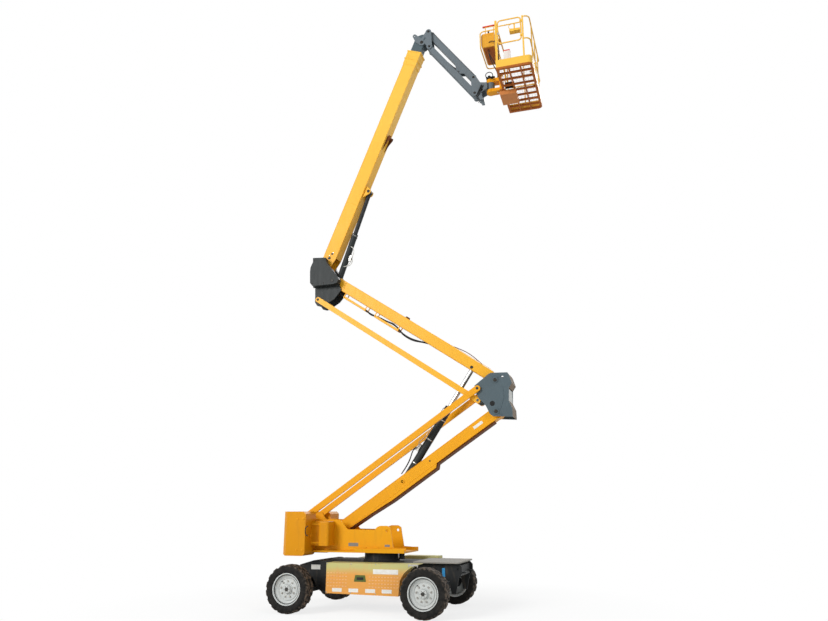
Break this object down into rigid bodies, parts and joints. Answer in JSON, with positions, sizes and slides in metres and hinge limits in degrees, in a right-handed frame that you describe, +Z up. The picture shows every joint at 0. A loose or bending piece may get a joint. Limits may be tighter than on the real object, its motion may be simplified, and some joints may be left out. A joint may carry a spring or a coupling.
{
  "type": "articulating boom lift",
  "caption": "Self-propelled articulating boom lift with a two-arm tower, a telescopic boom, a jib and a railed work platform.",
  "frame": {"origin": "on the ground under the slew axis", "axes": "+Z up, +X towards the platform with the turntable straight ahead, +Y to the machine's left"},
  "size_m": [5.287, 2.49, 12.4863],
  "materials": {
    "body_yellow": "glossy paint",
    "knuckle_grey": "semi-gloss paint",
    "jib_grey": "semi-gloss paint",
    "frame_dark": "satin paint",
    "tray_brown": "satin paint",
    "tyre": "matte",
    "rim_pale": "satin paint",
    "deck_pale": "satin paint",
    "barrel_dark": "semi-gloss paint",
    "rod_chrome": "polished",
    "plastic_black": "matte",
    "cast_dark": "painted casting",
    "cover_white": "satin paint",
    "pad_red": "matte"
  },
  "bodies": {
    "chassis": {"chassis_frame": "frame_dark", "chassis_side_covers": "body_yellow", "front_deck": "deck_pale", "rear_axle": "frame_dark", "front_axle": "frame_dark", "slew_ring": "cast_dark", "tie_down_lugs": "frame_dark"},
    "knuckle_left": {"knuckle_left": "cast_dark"},
    "knuckle_right": {"knuckle_right": "cast_dark"},
    "track_rod": {"track_rod": "frame_dark"},
    "wheel_front_left": {"tyre_front_left": "tyre", "rim_front_left": "rim_pale"},
    "wheel_front_right": {"tyre_front_right": "tyre", "rim_front_right": "rim_pale"},
    "wheel_rear_left": {"tyre_rear_left": "tyre", "rim_rear_left": "rim_pale"},
    "wheel_rear_right": {"tyre_rear_right": "tyre", "rim_rear_right": "rim_pale"},
    "turntable": {"turntable_frame": "body_yellow", "counterweight": "body_yellow", "counterweight_wings": "body_yellow", "hood_box": "body_yellow", "engine_block": "cast_dark", "slew_motor": "cast_dark"},
    "engine_hood": {"engine_hood": "body_yellow"},
    "lower_arm": {"lower_arm": "body_yellow", "lower_hose_tray": "tray_brown"},
    "lower_tie_links": {"lower_tie_links": "body_yellow"},
    "tower_barrel": {"tower_cylinder_barrel": "barrel_dark"},
    "tower_rod": {"tower_cylinder_rod": "rod_chrome"},
    "mid_knuckle": {"mid_knuckle": "knuckle_grey", "knuckle_cover": "cover_white"},
    "upper_arm": {"upper_arm": "body_yellow", "upper_hose_tray": "body_yellow"},
    "upper_tie_links": {"upper_tie_links": "body_yellow"},
    "top_knuckle": {"top_knuckle": "knuckle_grey", "top_knuckle_covers": "knuckle_grey"},
    "boom_barrel": {"boom_cylinder_barrel": "barrel_dark"},
    "boom_rod": {"boom_cylinder_rod": "rod_chrome"},
    "main_boom": {"main_boom": "body_yellow", "boom_hose_guide": "tray_brown"},
    "inner_boom": {"inner_boom": "jib_grey"},
    "jib_head": {"jib_head": "jib_grey"},
    "jib_arm": {"jib_arm": "jib_grey"},
    "jib_link": {"jib_link": "jib_grey"},
    "jib_barrel": {"jib_cylinder_barrel": "barrel_dark"},
    "jib_rod": {"jib_cylinder_rod": "rod_chrome"},
    "jib_end": {"jib_end_bracket": "jib_grey"},
    "platform": {"platform_support": "body_yellow", "platform_floor": "body_yellow", "toe_boards": "body_yellow", "platform_rails": "body_yellow", "control_console": "body_yellow", "console_guard": "body_yellow", "console_hoop": "cover_white", "hoop_pad": "pad_red", "storage_box": "pad_red", "foot_switch": "plastic_black"},
    "gate": {"platform_gate": "body_yellow", "tool_tray": "plastic_black"}
  },
  "joints": [
    {"name": "slew", "type": "hinge", "parent": "chassis", "child": "turntable", "pos_m": [0, 0, 1], "axis": [0, 0, 1], "continuous": true},
    {"name": "engine_hood", "type": "hinge", "parent": "turntable", "child": "engine_hood", "pos_m": [-0.76, 0.356, 1.392], "axis": [1, 0, 0], "range_deg": [0, 60]},
    {"name": "tower_lift", "type": "hinge", "parent": "turntable", "child": "lower_arm", "pos_m": [-1.1, 0, 1.24], "axis": [0, -1, 0], "range_deg": [-31.9, 31.9]},
    {"name": "lower_tie", "type": "hinge", "parent": "turntable", "child": "lower_tie_links", "pos_m": [-1.44, 0, 1.686], "axis": [0, -1, 0], "range_deg": [-31.9, 31.9]},
    {"name": "mid_knuckle_level", "type": "hinge", "parent": "lower_arm", "child": "mid_knuckle", "pos_m": [2.34059, 0, 3.56946], "axis": [0, -1, 0], "range_deg": [-31.9, 31.9]},
    {"name": "upper_arm_fold", "type": "hinge", "parent": "mid_knuckle", "child": "upper_arm", "pos_m": [2.34059, 0, 4.16946], "axis": [0, -1, 0], "range_deg": [-31.9, 31.9]},
    {"name": "upper_tie", "type": "hinge", "parent": "mid_knuckle", "child": "upper_tie_links", "pos_m": [1.98559, 0, 3.79946], "axis": [0, -1, 0], "range_deg": [-31.9, 31.9]},
    {"name": "top_knuckle_level", "type": "hinge", "parent": "upper_arm", "child": "top_knuckle", "pos_m": [-1.1, 0, 6.49891], "axis": [0, -1, 0], "range_deg": [-31.9, 31.9]},
    {"name": "tower_cylinder_swing", "type": "hinge", "parent": "lower_arm", "child": "tower_barrel", "pos_m": [0.44557, 0, 2.30696], "axis": [0, -1, 0], "range_deg": [-8, 8]},
    {"name": "tower_cylinder_stroke", "type": "slide", "parent": "tower_barrel", "child": "tower_rod", "axis": [0.5492, 0, 0.8357], "range_m": [-0.85, 0.8]},
    {"name": "boom_lift", "type": "hinge", "parent": "top_knuckle", "child": "main_boom", "pos_m": [-1.417, 0, 6.97991], "axis": [0, -1, 0], "range_deg": [-65.6, 4.4]},
    {"name": "boom_cylinder_swing", "type": "hinge", "parent": "top_knuckle", "child": "boom_barrel", "pos_m": [-1.1, 0, 6.49891], "axis": [0, -1, 0], "range_deg": [-70, 10]},
    {"name": "boom_cylinder_stroke", "type": "slide", "parent": "boom_barrel", "child": "boom_rod", "axis": [0.3201, 0, 0.9474], "range_m": [-0.68, 0.1]},
    {"name": "telescope", "type": "slide", "parent": "main_boom", "child": "inner_boom", "axis": [0.373, 0, 0.9278], "range_m": [0, 3.5]},
    {"name": "jib_head_level", "type": "hinge", "parent": "inner_boom", "child": "jib_head", "pos_m": [0.86818, 0, 12.1658], "axis": [0, -1, 0], "range_deg": [-4.4, 65.6]},
    {"name": "jib_lift", "type": "hinge", "parent": "jib_head", "child": "jib_arm", "pos_m": [1.02818, 0, 12.4208], "axis": [0, -1, 0], "range_deg": [-5.76, 114.2]},
    {"name": "jib_link_swing", "type": "hinge", "parent": "jib_head", "child": "jib_link", "pos_m": [1.04818, 0, 12.0208], "axis": [0, -1, 0], "range_deg": [-5.76, 114.2]},
    {"name": "jib_cylinder_swing", "type": "hinge", "parent": "jib_head", "child": "jib_barrel", "pos_m": [1.04818, 0, 12.0208], "axis": [0, -1, 0], "range_deg": [-15, 120]},
    {"name": "jib_cylinder_stroke", "type": "slide", "parent": "jib_barrel", "child": "jib_rod", "axis": [0.6487, 0, -0.7611], "range_m": [-0.08, 0.68]},
    {"name": "jib_end_level", "type": "hinge", "parent": "jib_arm", "child": "jib_end", "pos_m": [2.05788, 0, 10.99099], "axis": [0, -1, 0], "range_deg": [-114.2, 5.76]},
    {"name": "platform_swing", "type": "hinge", "parent": "jib_end", "child": "platform", "pos_m": [2.42, 0, 10.735], "axis": [0, 0, -1], "range_deg": [-80, 80]},
    {"name": "gate", "type": "hinge", "parent": "platform", "child": "gate", "pos_m": [3.24, -0.8397, 11.46], "axis": [0, 0, -1], "range_deg": [0, 90]},
    {"name": "steer", "type": "hinge", "parent": "chassis", "child": "knuckle_left", "pos_m": [1.175, 1, 0.416], "axis": [0, 0, 1], "range_deg": [-35, 35]},
    {"name": "steer_right", "type": "hinge", "parent": "chassis", "child": "knuckle_right", "pos_m": [1.175, -1, 0.416], "axis": [0, 0, 1], "range_deg": [-35, 35]},
    {"name": "track_rod_slide", "type": "slide", "parent": "chassis", "child": "track_rod", "axis": [0, 1, 0], "range_m": [-0.09, 0.09]},
    {"name": "wheel_front_left", "type": "hinge", "parent": "knuckle_left", "child": "wheel_front_left", "pos_m": [1.175, 1.0925, 0.416], "axis": [0, 1, 0], "continuous": true},
    {"name": "wheel_front_right", "type": "hinge", "parent": "knuckle_right", "child": "wheel_front_right", "pos_m": [1.175, -1.0925, 0.416], "axis": [0, 1, 0], "continuous": true},
    {"name": "wheel_rear_left", "type": "hinge", "parent": "chassis", "child": "wheel_rear_left", "pos_m": [-1.365, 1.0925, 0.416], "axis": [0, 1, 0], "continuous": true},
    {"name": "wheel_rear_right", "type": "hinge", "parent": "chassis", "child": "wheel_rear_right", "pos_m": [-1.365, -1.0925, 0.416], "axis": [0, 1, 0], "continuous": true}
  ],
  "couplings": [
    {"joint": "lower_tie", "follows": "tower_lift", "ratio": 1},
    {"joint": "mid_knuckle_level", "follows": "tower_lift", "ratio": -1},
    {"joint": "upper_arm_fold", "follows": "tower_lift", "ratio": -1},
    {"joint": "upper_tie", "follows": "tower_lift", "ratio": -1},
    {"joint": "top_knuckle_level", "follows": "tower_lift", "ratio": 1},
    {"joint": "tower_cylinder_swing", "follows": "tower_lift", "ratio": -0.14},
    {"joint": "tower_cylinder_stroke", "follows": "tower_lift", "m_per_rad": 1.2657},
    {"joint": "boom_cylinder_swing", "follows": "boom_lift", "ratio": 0.96079},
    {"joint": "boom_cylinder_stroke", "follows": "boom_lift", "m_per_rad": 0.53581},
    {"joint": "jib_head_level", "follows": "boom_lift", "ratio": -1},
    {"joint": "jib_link_swing", "follows": "jib_lift", "ratio": 1},
    {"joint": "jib_cylinder_swing", "follows": "jib_lift", "ratio": 0.98},
    {"joint": "jib_cylinder_stroke", "follows": "jib_lift", "m_per_rad": 0.33125},
    {"joint": "jib_end_level", "follows": "jib_lift", "ratio": -1},
    {"joint": "steer_right", "follows": "steer", "ratio": 1},
    {"joint": "track_rod_slide", "follows": "steer", "m_per_rad": -0.13}
  ]
}
